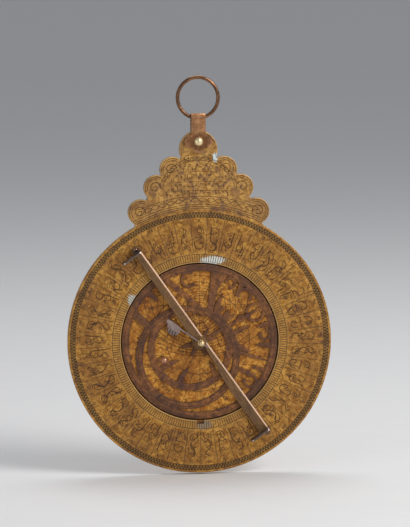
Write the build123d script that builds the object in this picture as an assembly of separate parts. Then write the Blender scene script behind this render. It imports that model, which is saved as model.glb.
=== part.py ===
from build123d import *
import os
from math import asin, cos, radians, sin, sqrt

# Planispheric astrolabe. X is to the right, Z is up, and the face looks along -Y.
# Lengths are millimetres. Everything is drawn about the centre of the disc, with y = 0 in the
# middle of its thickness, and moved at the end so that the origin is the hanging point.

# Mater: back plate, raised limb and the recess for the plates
disc_d = 200.0
limb_w = 40.0
back_plate_t = 2.0
limb_t = 4.4
edge_bevel = 0.5
notch_w = 5.0
notch_depth = 2.6
limb_pin_d = 3.0
limb_pin_count = 8
limb_pin_inset = 8.0
limb_pin_cover = 1.2

# Latitude plates
tympan_t = 0.8
tympan_gap = 0.3
tab_clear = 0.25

# Throne: half widths and heights above the top of the disc, and radii of its lobes
throne_t = 5.0
crown_lobe = (0.0, 45.3, 14.4)
side_lobes = [(19.5, 30.3, 9.8), (31.8, 16.8, 9.7), (43.6, -1.6, 9.9)]
step_corners = [(13.0, 39.2), (28.3, 25.8), (39.4, 8.2)]
throne_foot_half_w = 49.0
throne_bevel = 0.4
tongue_t = 2.4
tongue_depth = 8.0
tongue_half_angle = 20.0
tongue_clear = 0.05
tongue_side_gap = 1.0
throne_pin_d = 3.0
throne_pin_angles = [-14.0, 0.0, 14.0]

# Shackle and ring
shackle_pin_height = 51.4
shackle_pin_d = 4.0
pin_head_d = 7.2
pin_head_h = 2.6
pin_tail_d = 6.4
pin_tail_h = 1.5
strap_t = 1.0
strap_w = 10.8
cheek_gap = 0.15
loop_rise = 17.5
trefoil_r = 5.0
trefoil_spread = 5.7
trefoil_drop = 3.4
trefoil_shoulder = 4.0
trefoil_waist = 6.6
trefoil_point = 9.6
trefoil_hollow = (1.3, 8.0)
ring_wire_d = 2.8
ring_mean_r = 15.3

# Rete: star map plate. The projection sets the two inner circles' middle radii as shares of the
# outer circle's, and each bite is how far one band runs into the next. Directions are degrees
# from +X, seen from the face.
# Tie bars: direction at the outer circle and at the ecliptic, then the width at each end.
# Scrolls: direction, radius, where the scroll opens and how wide.
# Pointers: direction of the root, which way the leaf points, its length, width and bow. Every
# leaf has the same root and the same place of its swell, as shares of its width and length.
rete_t = 1.0
rete_gap = 1.0
rete_lift = 0.05
capricorn_band = 5.4
ecliptic_share = 0.6554
ecliptic_band = 5.4
ecliptic_turn = 232.0
ecliptic_bite = 0.9
inner_share = 0.5275
inner_band = 5.4
inner_bite = 5.2
inner_turn = 73.5
hub_r = 5.4
spoke_w = 3.0
spoke_tuck = 2.0
lower_tuck = 3.0
star_arm_w = 2.2
star_arm_turn = 28.0
tie_bars = [(119, 82, 4.6, 3.8), (76.5, 70, 8.2, 3.8), (155, 163, 6.5, 5.0)]
node_r = 3.0
node_out = 35.6
scroll_w = 2.1
scroll_bite = 0.9
rim_scrolls = [
    (99.5, 5.4, 20, 110),
    (62, 3.6, 220, 100),
    (45, 4.8, 260, 130),
    (27, 6.4, 200, 30),
    (5, 3.6, 130, 90),
    (-39, 4.6, 150, 60),
]
ecliptic_scrolls = [(50, 3.4, 60, 80)]
ecliptic_pointers = [
    (-36, -8, 14, 4.0, -2.4),
    (-17, -19, 25, 3.2, 0.5),
    (-4, -12, 14, 4.2, -2.4),
    (9, 12, 15, 4.4, 2.6),
    (38, 52, 11, 3.4, 1.8),
    (46, 34, 12, 3.8, -2.0),
    (57, 58, 18, 4.6, 2.6),
]
rim_pointers = [
    (-52, 120, 12, 3.8, 1.8),
    (-24, 150, 13, 3.8, 2.0),
    (-5, 190, 14, 4.0, -2.2),
    (14, 176, 12, 4.2, 2.2),
    (55, 232, 13, 3.8, 2.2),
    (68, 246, 20, 4.8, -2.4),
    (137, 306, 12, 4.2, 2.4),
]
inner_pointers = [
    (152, -28, 12, 4.0, 2.0),
    (214, 14, 18, 4.6, 2.2),
    (243, 44, 16, 4.2, 2.4),
    (292, 124, 14, 4.0, -2.4),
]
leaf_root = 0.32
leaf_swell_at = 0.4
leaf_tip_bow = 1.6
knob_leaf = (201.5, 0, 7.0, 4.6, 0.0)
knob_pad_r = 3.2
knob_out = 8.4
knob_d = 4.4
knob_h = 1.2
knob_stem_d = 1.8

# Washers, rule and sight vanes
rete_washer_d = 12.0
rete_washer_t = 1.35
rule_lift = 0.05
rule_turn = 35.2
rule_t = 2.2
rule_hub_r = 4.6
rule_short = 12.0
rule_edge_x = 4.0
rule_bevel = 1.2
upper_arm_w = 5.4
upper_root_w = 7.6
lower_arm_w = 7.4
lower_root_w = 3.2
lower_flare = 44.0
vane_foot_l = 4.7
vane_w = 16.5
vane_h = 10.0
vane_t = 1.2
vane_corner = 2.5
vane_foot_w = 4.8
sight_hole_d = 1.8
sight_hole_h = 6.0
vane_rivet_d = 2.0
vane_rivet_head_d = 3.0
vane_rivet_head_h = 0.7

# Centre pin and its wedge
centre_pin_d = 5.0
pin_disc_d = 12.0
pin_disc_t = 1.3
pin_sink = 0.05
pin_washer_d = 9.0
pin_washer_t = 0.6
slot_h = 4.2
pin_cap_h = 1.3
neck_d = 3.2
neck_h = 0.8
ball_d = 4.6
wedge_turn = 145.5
wedge_t = 1.1
wedge_tip = 6.5
wedge_tip_h = 1.9
wedge_neck_h = 2.4
wedge_head_t = 1.6
wedge_head_start = 18.0
wedge_head_end = 31.0
wedge_head_w = 7.0
wedge_sink = 0.4
wedge_shank_end = 22.0
brow_h = 1.4
chin_r = 2.1
comb_grooves = 4
groove_w = 0.5
groove_l = 3.8
groove_lean = 14.0
groove_floor_t = 1.1

# Fits
turn_fit = 0.05
hole_slack = 0.1
pin_fit = 0.02
bore_slack = 0.2

# Direction of the top of the disc, in degrees from +X
straight_up = 90.0

# Levels through the thickness, from the back towards the face, and the radii that follow
disc_r = disc_d / 2
recess_r = disc_r - limb_w
back_y = (back_plate_t + limb_t) / 2
floor_y = back_y - back_plate_t
face_y = floor_y - limb_t
rete_y = floor_y - 3 * tympan_t - rete_lift
rete_face_y = rete_y - rete_t
rule_y = rete_face_y - rete_washer_t - rule_lift
rule_face_y = rule_y - rule_t
washer_face_y = rule_face_y - pin_washer_t
slot_end_y = washer_face_y - slot_h
pin_r = centre_pin_d / 2
rete_r = recess_r - rete_gap
capricorn_r = rete_r - capricorn_band / 2
ecliptic_r = ecliptic_share * capricorn_r
inner_r = inner_share * capricorn_r
rule_reach = disc_r - rule_short
vane_radius = rule_reach - vane_foot_l
throne_y = throne_t / 2
shackle_z = disc_r + shackle_pin_height
loop_z = shackle_z + loop_rise
ring_z = loop_z + ring_mean_r
hang_z = ring_z + ring_mean_r - ring_wire_d / 2


def slab(outline, back, thickness):
    """A flat plate with this outline, from y = back forwards."""
    return extrude(Plane.XZ.offset(-back) * outline, thickness)


def rod(radius, back, length, x=0.0, z=0.0):
    """A round bar along Y, from y = back forwards."""
    return slab(Pos(x, z) * Circle(radius), back, length)


def turned(edges):
    """A body of revolution about Y, from a closed profile of x = radius against y."""
    return revolve(make_face(edges), Axis.Y)


def chain(points):
    """Straight edges from each point to the next, and back to the first."""
    return Polyline(*points, close=True)


def polar(radius, angle):
    return radius * cos(radians(angle)), radius * sin(radians(angle))


def sector(inner, outer, middle, half_angle):
    """A piece of a ring between two radii, centred on one direction."""
    reach = 2 * outer
    wedge = make_face(
        chain([(0, 0), polar(reach, middle - half_angle), polar(reach, middle + half_angle)])
    )
    return (Circle(outer) - Circle(inner)) & wedge


def dome(apex, rim_r, rim):
    """A round cap's profile, from its top on the axis to its rim."""
    rise = abs(rim - apex)
    ball_r = (rim_r**2 + rise**2) / (2 * rise)
    half = asin(min(1, rim_r / ball_r)) / 2
    inward = (rim - apex) / rise
    middle = (ball_r * sin(half), apex + inward * ball_r * (1 - cos(half)))
    return ThreePointArc((0, apex), middle, (rim_r, rim))


def face_rim(solid, level, radius):
    """The circular edges of this radius that lie at one level."""
    rim = solid.edges().filter_by(GeomType.CIRCLE)
    return rim.filter_by(lambda e: abs(e.center().Y - level) < 1e-6 and abs(e.radius - radius) < 1e-6)


def make_back_plate():
    plate = rod(disc_r, back_y, back_plate_t)
    plate -= rod(pin_r + turn_fit, back_y, back_plate_t)
    plate -= rod(pin_disc_d / 2 + bore_slack, back_y, pin_disc_t + 2 * pin_sink)
    for x, z in limb_pin_places():
        plate -= rod(limb_pin_d / 2 + pin_fit, back_y, back_plate_t, x, z)
    for x, z in throne_pin_places():
        plate -= rod(throne_pin_d / 2 + pin_fit, back_y, back_plate_t, x, z)
    return chamfer(face_rim(plate, back_y, disc_r), edge_bevel)


def limb_pin_places():
    step = 360 / limb_pin_count
    return [polar(disc_r - limb_pin_inset, (i + 0.5) * step) for i in range(limb_pin_count)]


def throne_pin_places():
    return [polar(disc_r - tongue_depth / 2, straight_up + a) for a in throne_pin_angles]


def pin_length():
    return back_plate_t + limb_t - limb_pin_cover


def make_limb_ring():
    ring = slab(Circle(disc_r) - Circle(recess_r), floor_y, limb_t)
    notch = Pos(0, -recess_r) * Rectangle(notch_w, 2 * notch_depth)
    ring -= slab(notch, floor_y, limb_t)
    seat = sector(disc_r - tongue_depth, disc_r + 1, straight_up, tongue_half_angle)
    ring -= slab(seat, floor_y, tongue_t)
    blind = limb_t - limb_pin_cover
    for x, z in limb_pin_places():
        ring -= rod(limb_pin_d / 2 + pin_fit, floor_y, blind, x, z)
    for x, z in throne_pin_places():
        ring -= rod(throne_pin_d / 2 + pin_fit, floor_y, blind, x, z)
    ring = chamfer(face_rim(ring, face_y, disc_r), edge_bevel)
    return chamfer(face_rim(ring, face_y, recess_r), edge_bevel / 2)


def make_limb_pins():
    return [rod(limb_pin_d / 2, back_y, pin_length(), x, z) for x, z in limb_pin_places()]


def make_throne_pins():
    return [rod(throne_pin_d / 2, back_y, pin_length(), x, z) for x, z in throne_pin_places()]


def make_tympan(level):
    """A latitude plate with the tab that keeps it from turning in the limb."""
    outline = Circle(recess_r - tympan_gap) - Circle(pin_r + hole_slack)
    tab_end = recess_r + notch_depth - tab_clear
    tab = Pos(0, -recess_r + notch_depth) * Rectangle(notch_w - 2 * tab_clear, 4 * notch_depth)
    outline += tab & Circle(tab_end)
    return slab(outline, level, tympan_t)


def throne_outline():
    """The scalloped plate: a stepped body with a round lobe on every step."""
    foot_z = sqrt(disc_r**2 - throne_foot_half_w**2)
    right = [(throne_foot_half_w, foot_z)]
    right += [(x, disc_r + z) for x, z in reversed(step_corners)]
    left = [(-x, z) for x, z in reversed(right)]
    outline = make_face(chain(right + left))
    x, z, r = crown_lobe
    outline += Pos(x, disc_r + z) * Circle(r)
    for x, z, r in side_lobes:
        outline += Pos(x, disc_r + z) * Circle(r)
        outline += Pos(-x, disc_r + z) * Circle(r)
    return outline


def make_throne():
    plate = slab(throne_outline(), throne_y, throne_t)
    front = plate.faces().sort_by(Axis.Y)[0]
    plate = chamfer(front.outer_wire().edges(), throne_bevel)
    plate -= rod(disc_r + tongue_clear, throne_y + 1, throne_t + 2)
    inner = disc_r - tongue_depth + tongue_clear
    tongue = sector(inner, disc_r + 1, straight_up, tongue_half_angle - tongue_side_gap)
    plate += slab(tongue, floor_y - tongue_clear, tongue_t - 2 * tongue_clear)
    plate -= rod(shackle_pin_d / 2 + turn_fit, throne_y, throne_t, 0, shackle_z)
    for x, z in throne_pin_places():
        plate -= rod(throne_pin_d / 2 + pin_fit, throne_y, throne_t, x, z)
    return plate


def trefoil():
    """Cheek outline of the shackle: two round side lobes and a pointed foot."""
    lobes = Pos(trefoil_spread, 0) * Circle(trefoil_r) + Pos(-trefoil_spread, 0) * Circle(trefoil_r)
    bulb = Pos(0, -trefoil_drop) * Circle(trefoil_r)
    half, waist, point = trefoil_shoulder, -trefoil_waist, (0, -trefoil_point)
    hollow_x, hollow_z = trefoil_hollow
    tip = Curve() + [
        Line((-half, -trefoil_drop), (half, -trefoil_drop)),
        Line((half, -trefoil_drop), (half, waist)),
        ThreePointArc((half, waist), (hollow_x, -hollow_z), point),
        ThreePointArc(point, (-hollow_x, -hollow_z), (-half, waist)),
        Line((-half, waist), (-half, -trefoil_drop)),
    ]
    return lobes + bulb + make_face(tip)


def make_shackle_strap():
    inner = throne_y + cheek_gap
    outer = inner + strap_t
    fold = slab_x(Circle(outer) - Circle(inner), strap_w)
    keep_top = Pos(0, 0, loop_z + outer) * Box(strap_w, 2 * outer, 2 * outer)
    fold = (Pos(0, 0, loop_z) * fold) & keep_top
    strap_h = loop_rise
    outline = Pos(0, shackle_z) * trefoil()
    outline += Pos(0, shackle_z + strap_h / 2) * Rectangle(strap_w, strap_h)
    outline -= Pos(0, shackle_z) * Circle(shackle_pin_d / 2 + pin_fit)
    front = slab(outline, -inner, strap_t)
    rear = slab(outline, outer, strap_t)
    return fold + front + rear


def slab_x(outline, width):
    """A bar along X with this outline across it, centred on x = 0."""
    return extrude(Plane.YZ.offset(-width / 2) * outline, width)


def make_shackle_pin():
    front = -(throne_y + cheek_gap + strap_t)
    r, head_r, tail_r = shackle_pin_d / 2, pin_head_d / 2, pin_tail_d / 2
    top, tail = front - pin_head_h, -front + pin_tail_h
    profile = Curve() + [
        Line((0, tail), (0, top)),
        dome(top, head_r, front),
        Line((head_r, front), (r, front)),
        Line((r, front), (r, -front)),
        Line((r, -front), (tail_r, -front)),
        dome(tail, tail_r, -front),
    ]
    return Pos(0, 0, shackle_z) * turned(profile)


def make_suspension_ring():
    return Pos(0, 0, ring_z) * Rot(90, 0, 0) * Torus(ring_mean_r, ring_wire_d / 2)


# Circles of the rete, each a centre and a middle radius, in its own plane
capricorn = ((0.0, 0.0), capricorn_r)
ecliptic_out = rete_r - capricorn_band + ecliptic_bite - ecliptic_r - ecliptic_band / 2
ecliptic = (polar(ecliptic_out, ecliptic_turn), ecliptic_r)
inner_out = ecliptic_r - ecliptic_band / 2 + inner_bite - inner_r - inner_band / 2
inner_shift = polar(inner_out, inner_turn)
inner = ((ecliptic[0][0] + inner_shift[0], ecliptic[0][1] + inner_shift[1]), inner_r)


def reach(circle, angle):
    """Where a ray from the centre pin meets the middle of a circle's band."""
    (cx, cz), radius = circle
    ux, uz = polar(1, angle)
    along = cx * ux + cz * uz
    t = along + sqrt(radius**2 - cx**2 - cz**2 + along**2)
    return t * ux, t * uz


def band(circle, width):
    (cx, cz), radius = circle
    return Pos(cx, cz) * (Circle(radius + width / 2) - Circle(radius - width / 2))


def bar(start, end, start_w, end_w):
    """A straight bar between two points, as wide as said at each end."""
    dx, dz = end[0] - start[0], end[1] - start[1]
    length = sqrt(dx * dx + dz * dz)
    nx, nz = -dz / length / 2, dx / length / 2
    corners = [
        (start[0] + nx * start_w, start[1] + nz * start_w),
        (start[0] - nx * start_w, start[1] - nz * start_w),
        (end[0] - nx * end_w, end[1] - nz * end_w),
        (end[0] + nx * end_w, end[1] + nz * end_w),
    ]
    return make_face(chain(corners))


def flame(start, turn, length, width, bow):
    """A star pointer: a leaf that swells from its root, bows to one side and ends in a point."""
    root, belly = leaf_root * width, width / 2
    swell = leaf_swell_at * length
    tip = (length, leaf_tip_bow * bow)
    left = Spline((0, root), (swell, bow + belly), tip)
    right = Spline(tip, (swell, bow - belly), (0, -root))
    leaf = make_face(Curve() + [left, right, Line((0, -root), (0, root))])
    return Pos(*start) * Rot(0, 0, turn) * leaf


def curl(centre, radius, width, open_at, open_angle):
    """A scroll: an open ring with a bud at one end."""
    far = 3 * radius
    gap = make_face(chain([(0, 0), polar(far, -open_angle / 2), (far, 0), polar(far, open_angle / 2)]))
    scroll = Circle(radius + width / 2) - Circle(radius - width / 2)
    scroll = (scroll - gap) + Pos(*polar(radius, open_angle / 2)) * Circle(0.75 * width)
    return Pos(*centre) * Rot(0, 0, open_at) * scroll


def seated_curl(circle, width, side, angle, radius, open_at, open_angle):
    """A scroll that just bites into a circle's band, inside it for side -1 and outside for 1."""
    x, z = reach(circle, angle)
    away = sqrt(x * x + z * z) + side * (width / 2 + radius + scroll_w / 2 - scroll_bite)
    return curl(polar(away, angle), radius, scroll_w, open_at, open_angle)


def make_rete():
    plate = band(capricorn, capricorn_band) + band(ecliptic, ecliptic_band) + band(inner, inner_band)
    plate += Circle(hub_r)
    plate += bar((0, 0), reach(inner, straight_up + rule_turn - spoke_tuck), spoke_w, spoke_w)
    plate += bar((0, 0), reach(inner, rule_turn - straight_up + lower_tuck), spoke_w, spoke_w)
    plate += bar((0, 0), reach(capricorn, star_arm_turn), star_arm_w, star_arm_w)
    plate += Pos(*polar(node_out, star_arm_turn)) * Circle(node_r)
    for outer_angle, inner_angle, outer_w, inner_w in tie_bars:
        plate += bar(reach(capricorn, outer_angle), reach(ecliptic, inner_angle), outer_w, inner_w)
    for scroll in rim_scrolls:
        plate += seated_curl(capricorn, capricorn_band, -1, *scroll)
    for scroll in ecliptic_scrolls:
        plate += seated_curl(ecliptic, ecliptic_band, 1, *scroll)
    pointers = [(ecliptic, p) for p in ecliptic_pointers]
    pointers += [(capricorn, p) for p in rim_pointers]
    pointers += [(inner, p) for p in inner_pointers + [knob_leaf]]
    for circle, (angle, *shape) in pointers:
        plate += flame(reach(circle, angle), *shape)
    plate += Pos(*knob_place()) * Circle(knob_pad_r)
    plate &= Circle(rete_r)
    plate -= Circle(pin_r + turn_fit)
    solid = slab(plate, rete_y, rete_t)
    x, z = knob_place()
    return solid - rod(knob_stem_d / 2 + pin_fit, rete_y, rete_t, x, z)


def knob_place():
    x, z = reach(inner, knob_leaf[0])
    return x + knob_out, z


def make_rete_knob():
    x, z = knob_place()
    r, stem = knob_d / 2, knob_stem_d / 2
    back = rete_y
    face = rete_face_y
    profile = Curve() + [
        Line((0, back), (0, face - knob_h)),
        dome(face - knob_h, r, face),
        Line((r, face), (stem, face)),
        Line((stem, face), (stem, back)),
        Line((stem, back), (0, back)),
    ]
    return Pos(x, 0, z) * turned(profile)


def make_rete_washer():
    ring = Circle(rete_washer_d / 2) - Circle(pin_r + hole_slack)
    return slab(ring, rete_face_y, rete_washer_t)


def make_pin_washer():
    ring = Circle(pin_washer_d / 2) - Circle(pin_r + hole_slack)
    return slab(ring, rule_face_y, pin_washer_t)


def foot_x():
    return rule_edge_x - upper_arm_w / 2


def make_rule_bar():
    """The rule: two unequal arms that share one straight reading edge, and a round hub."""
    edge = rule_edge_x
    tongue_r = vane_foot_w / 2
    shoulder = vane_radius + vane_t / 2
    upper = make_face(
        chain(
            [
                (edge, 0),
                (edge, shoulder),
                (edge - upper_arm_w, shoulder),
                (edge - upper_root_w, rule_hub_r),
            ]
        )
    )
    lower = make_face(
        chain(
            [
                (edge, 0),
                (edge - lower_root_w, -rule_hub_r),
                (edge - lower_arm_w, -lower_flare),
                (edge - lower_arm_w, -shoulder),
                (edge, -shoulder),
            ]
        )
    )
    outline = upper + lower + Circle(rule_hub_r)
    tongue_mid = rule_reach - tongue_r
    for side in (1, -1):
        outline += Pos(foot_x(), side * (tongue_mid + shoulder) / 2) * Rectangle(
            vane_foot_w, tongue_mid - shoulder
        )
        outline += Pos(foot_x(), side * tongue_mid) * Circle(tongue_r)
    outline -= Circle(pin_r + turn_fit)
    rule = slab(outline, rule_y, rule_t)
    straight = rule.edges().filter_by(Axis.Z)
    reading = straight.filter_by(
        lambda e: abs(e.center().X - edge) < 1e-6 and abs(e.center().Y - rule_face_y) < 1e-6
    )
    rule = chamfer(reading, rule_bevel, rule_t / 2)
    for x, z in rivet_places():
        rule -= rod(vane_rivet_d / 2 + pin_fit, rule_y, rule_t, x, z)
    return rule


def rivet_places():
    out = vane_radius + vane_t / 2 + (rule_reach - vane_radius - vane_t / 2) / 2
    return [(foot_x(), out), (foot_x(), -out)]


def make_sight_vane(side):
    """An upright plate across the rule with a peep hole, and a foot riveted to the rule's end."""
    plate = Rectangle(vane_w, vane_h)
    plate = fillet(plate.vertices().sort_by(Axis.Y)[-2:], vane_corner)
    mid_x = rule_edge_x - vane_w / 2
    plate -= Pos(0, sight_hole_h - vane_h / 2) * Circle(sight_hole_d / 2)
    stand = Plane((mid_x, rule_face_y - vane_h / 2, 0), x_dir=(1, 0, 0), z_dir=(0, 0, 1))
    upright = extrude(stand * Rot(0, 0, 180) * plate, vane_t / 2, both=True)
    near = vane_t / 2
    far = rule_reach - vane_radius - vane_foot_w / 2
    foot = Pos(foot_x(), (far - near) / 2) * Rectangle(vane_foot_w, far + near)
    foot += Pos(foot_x(), far) * Circle(vane_foot_w / 2)
    vane = upright + slab(foot, rule_face_y, vane_t)
    hole_z = rivet_places()[0][1] - vane_radius
    vane -= rod(vane_rivet_d / 2 + pin_fit, rule_face_y, vane_t, foot_x(), hole_z)
    if side < 0:
        vane = mirror(vane, Plane.XY)
    return Pos(0, 0, side * vane_radius) * vane


def make_vane_rivets():
    rivets = []
    for x, z in rivet_places():
        seat = rule_face_y - vane_t
        r, head_r = vane_rivet_d / 2, vane_rivet_head_d / 2
        profile = Curve() + [
            Line((0, rule_y), (0, seat - vane_rivet_head_h)),
            dome(seat - vane_rivet_head_h, head_r, seat),
            Line((head_r, seat), (r, seat)),
            Line((r, seat), (r, rule_y)),
            Line((r, rule_y), (0, rule_y)),
        ]
        rivets.append(Pos(x, 0, z) * turned(profile))
    return rivets


def make_centre_pin():
    head_back = back_y - pin_sink
    head_front = head_back - pin_disc_t
    cap = slot_end_y - pin_cap_h
    ball_r, neck_r = ball_d / 2, neck_d / 2
    ball_y = cap - neck_h - sqrt(ball_r**2 - neck_r**2)
    profile = Curve() + [
        Line((0, head_back), (pin_disc_d / 2, head_back)),
        Line((pin_disc_d / 2, head_back), (pin_disc_d / 2, head_front)),
        Line((pin_disc_d / 2, head_front), (pin_r, head_front)),
        Line((pin_r, head_front), (pin_r, cap)),
        Line((pin_r, cap), (neck_r, cap)),
        Line((neck_r, cap), (neck_r, cap - neck_h)),
        ThreePointArc((neck_r, cap - neck_h), (ball_r, ball_y), (0, ball_y - ball_r)),
        Line((0, ball_y - ball_r), (0, head_back)),
    ]
    slot_mid = washer_face_y - slot_h / 2
    slot = Pos(0, slot_mid, 0) * Rot(0, -wedge_turn, 0) * Box(
        centre_pin_d + 1, slot_h, wedge_t + 2 * hole_slack
    )
    return turned(profile) - slot


def make_horse_wedge():
    """The wedge on its edge along +X, with a carved head; turned to its place at the end."""
    seat = washer_face_y - turn_fit
    top = slot_end_y + turn_fit
    blade_outline = make_face(
        chain(
            [
                (-wedge_tip, seat),
                (-wedge_tip, seat - wedge_tip_h),
                (pin_r, top),
                (wedge_head_start, seat - wedge_neck_h),
                (wedge_shank_end, seat - wedge_neck_h),
                (wedge_shank_end, seat),
            ]
        )
    )
    blade = extrude(blade_outline, wedge_t / 2, both=True)
    start, end, wide = wedge_head_start, wedge_head_end, wedge_head_w
    brow, chin = brow_h, chin_r
    crest = (end - 3 * chin, wide)
    outline = Curve() + [
        ThreePointArc((start, -brow / 2), ((start + end) / 2, -brow), (end - chin, -brow)),
        ThreePointArc((end - chin, -brow), (end, 0), (end - chin, brow)),
        ThreePointArc((end - chin, brow), (end - 2 * chin, wide - brow), crest),
        ThreePointArc(crest, (start + brow / 2, wide - 1.2 * brow), (start, brow / 2)),
        Line((start, brow / 2), (start, -brow / 2)),
    ]
    head = slab(make_face(outline), seat - wedge_sink, wedge_head_t)
    pitch = (end - start - 3 * chin) / (comb_grooves - 1)
    for i in range(comb_grooves):
        groove = Pos(start + chin + i * pitch, wide - brow) * Rot(0, 0, groove_lean)
        cut = groove * Rectangle(groove_w, groove_l)
        head -= slab(cut, seat - wedge_sink - groove_floor_t, wedge_head_t)
    return Rot(0, -wedge_turn, 0) * (blade + head)


def turn_rule(shape):
    return Rot(0, -rule_turn, 0) * shape


def as_group(solids):
    return Compound(children=solids)


nodes = {
    "suspension_ring": make_suspension_ring(),
    "shackle_strap": make_shackle_strap(),
    "shackle_pin": make_shackle_pin(),
    "throne": make_throne(),
    "throne_pins": as_group(make_throne_pins()),
    "back_plate": make_back_plate(),
    "limb_ring": make_limb_ring(),
    "limb_pins": as_group(make_limb_pins()),
    "lower_tympan": make_tympan(floor_y),
    "middle_tympan": make_tympan(floor_y - tympan_t),
    "upper_tympan": make_tympan(floor_y - 2 * tympan_t),
    "rete": make_rete(),
    "rete_knob": make_rete_knob(),
    "rete_washer": make_rete_washer(),
    "rule_bar": turn_rule(make_rule_bar()),
    "upper_sight_vane": turn_rule(make_sight_vane(1)),
    "lower_sight_vane": turn_rule(make_sight_vane(-1)),
    "vane_rivets": as_group([turn_rule(r) for r in make_vane_rivets()]),
    "centre_pin": make_centre_pin(),
    "pin_washer": make_pin_washer(),
    "horse_wedge": make_horse_wedge(),
}

os.makedirs("parts", exist_ok=True)
for name, shape in nodes.items():
    export_step(Pos(0, 0, -hang_z) * shape, f"parts/{name}.step")
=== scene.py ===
import math
import random

import bpy
from mathutils import Matrix, Vector


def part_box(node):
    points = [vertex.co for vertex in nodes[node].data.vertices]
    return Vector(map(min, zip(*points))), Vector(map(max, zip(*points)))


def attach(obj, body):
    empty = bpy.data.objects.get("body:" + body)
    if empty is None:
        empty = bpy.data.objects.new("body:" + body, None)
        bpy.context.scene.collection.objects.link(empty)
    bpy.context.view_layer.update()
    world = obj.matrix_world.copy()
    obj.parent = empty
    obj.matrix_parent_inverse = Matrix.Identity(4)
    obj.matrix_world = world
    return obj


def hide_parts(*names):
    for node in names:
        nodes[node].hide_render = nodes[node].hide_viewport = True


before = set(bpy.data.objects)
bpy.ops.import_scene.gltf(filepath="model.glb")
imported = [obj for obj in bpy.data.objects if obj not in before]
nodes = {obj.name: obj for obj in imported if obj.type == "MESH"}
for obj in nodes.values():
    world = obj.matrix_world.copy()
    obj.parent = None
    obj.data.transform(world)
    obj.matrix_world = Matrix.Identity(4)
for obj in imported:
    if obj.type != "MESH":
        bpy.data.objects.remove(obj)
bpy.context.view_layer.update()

# Measures read from the frame, in metres
mm = 0.001
limb_low, limb_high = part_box("limb_ring")
disc_z = (limb_high.z + limb_low.z) / 2
limb_face = limb_low.y
back_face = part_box("back_plate")[1].y
tympan_low, tympan_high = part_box("upper_tympan")
tympan_face = tympan_low.y
tympan_r = (tympan_high.x - tympan_low.x) / 2
plate_gap = 0.3 * mm
recess_r = tympan_r + plate_gap
rete_low, rete_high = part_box("rete")
rete_face = rete_low.y
rete_r = (rete_high.x - rete_low.x) / 2
throne_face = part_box("throne")[0].y

# Engraving: how far a line stands off its face, how its top narrows, and the usual widths of cuts
proud = 0.03 * mm
cut_top = (0.5, 1, 0.98)
hair_cut = 0.28 * mm
thin_cut = 0.34 * mm
plain_cut = 0.4 * mm
stroke_cut = 0.5 * mm
ring_steps = 150

# The type size that makes a figure one unit high
type_share = 1.4


# Small helpers for picking things up and putting them down


def drop_all():
    bpy.ops.object.select_all(action="DESELECT")


def take(*pieces):
    """Selects these pieces alone, the first one active."""
    drop_all()
    for piece in pieces:
        piece.select_set(True)
    bpy.context.view_layer.objects.active = pieces[0]


def settle(piece):
    """Puts a piece's place, turn and size into its mesh."""
    take(piece)
    bpy.ops.object.transform_apply(location=True, rotation=True, scale=True)
    return piece


def joined(pieces):
    take(*pieces)
    if len(pieces) > 1:
        bpy.ops.object.join()
    return pieces[0]


def carried(piece, name, body, material):
    """Names a finished piece, gives it its material and fixes it to the body that carries it."""
    settle(piece)
    piece.name = name
    piece.data.name = name
    piece.data.materials.clear()
    piece.data.materials.append(material)
    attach(piece, body)
    return piece


def on_disc(radius, angle, level):
    """A place on the disc: radius in mm, degrees from +X, and the level of the face."""
    turn = math.radians(angle)
    return Vector((radius * mm * math.cos(turn), level, disc_z + radius * mm * math.sin(turn)))


def disc_turn(angle):
    """A turn about the disc's axis that carries +X towards +Z, as seen from the face."""
    centre = Vector((0, 0, disc_z))
    turned = Matrix.Rotation(-math.radians(angle), 4, "Y")
    return Matrix.Translation(centre) @ turned @ Matrix.Translation(-centre)


# Engraver's tools: every cut is a low ridge of dark inlay on its face


def ring_cut(radius, width, level):
    """A full circle about the centre pin. Radius in mm."""
    centre = Vector((0, level, disc_z))
    bpy.ops.mesh.primitive_torus_add(
        location=centre,
        rotation=(math.pi / 2, 0, 0),
        major_radius=radius * mm,
        minor_radius=width / 2,
        major_segments=ring_steps,
        minor_segments=4,
    )
    ring = bpy.context.object
    bpy.ops.object.mode_set(mode="EDIT")
    bpy.ops.mesh.select_all(action="SELECT")
    bpy.ops.transform.resize(value=(1, 2 * proud / width, 1), center_override=centre)
    bpy.ops.object.mode_set(mode="OBJECT")
    return settle(ring)


def radial_cut(inner, outer, width, level, angle=90.0):
    """A straight cut between two radii in mm, a little narrower at its top."""
    bpy.ops.mesh.primitive_cube_add(
        size=1,
        location=(0, level, disc_z + (inner + outer) / 2 * mm),
        scale=(width, 2 * proud, (outer - inner) * mm),
    )
    cut = bpy.context.object
    side = -1 if level < 0 else 1
    bpy.ops.object.mode_set(mode="EDIT")
    bpy.ops.mesh.select_all(action="DESELECT")
    bpy.ops.object.mode_set(mode="OBJECT")
    for face in cut.data.polygons:
        face.select = face.normal.y * side > 0.5
    bpy.ops.object.mode_set(mode="EDIT")
    bpy.ops.transform.resize(value=cut_top)
    bpy.ops.object.mode_set(mode="OBJECT")
    settle(cut)
    cut.data.transform(disc_turn(angle - 90))
    return cut


def repeat_round(piece, count, step):
    """Copies a cut round the disc, step degrees apart."""
    pivot = bpy.data.objects.new("pivot", None)
    bpy.context.scene.collection.objects.link(pivot)
    pivot.matrix_world = disc_turn(step)
    bpy.context.view_layer.update()
    take(piece)
    row = piece.modifiers.new("round", "ARRAY")
    row.count = count
    row.use_relative_offset = False
    row.use_object_offset = True
    row.offset_object = pivot
    bpy.ops.object.modifier_apply(modifier=row.name)
    bpy.data.objects.remove(pivot)
    return piece


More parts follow.
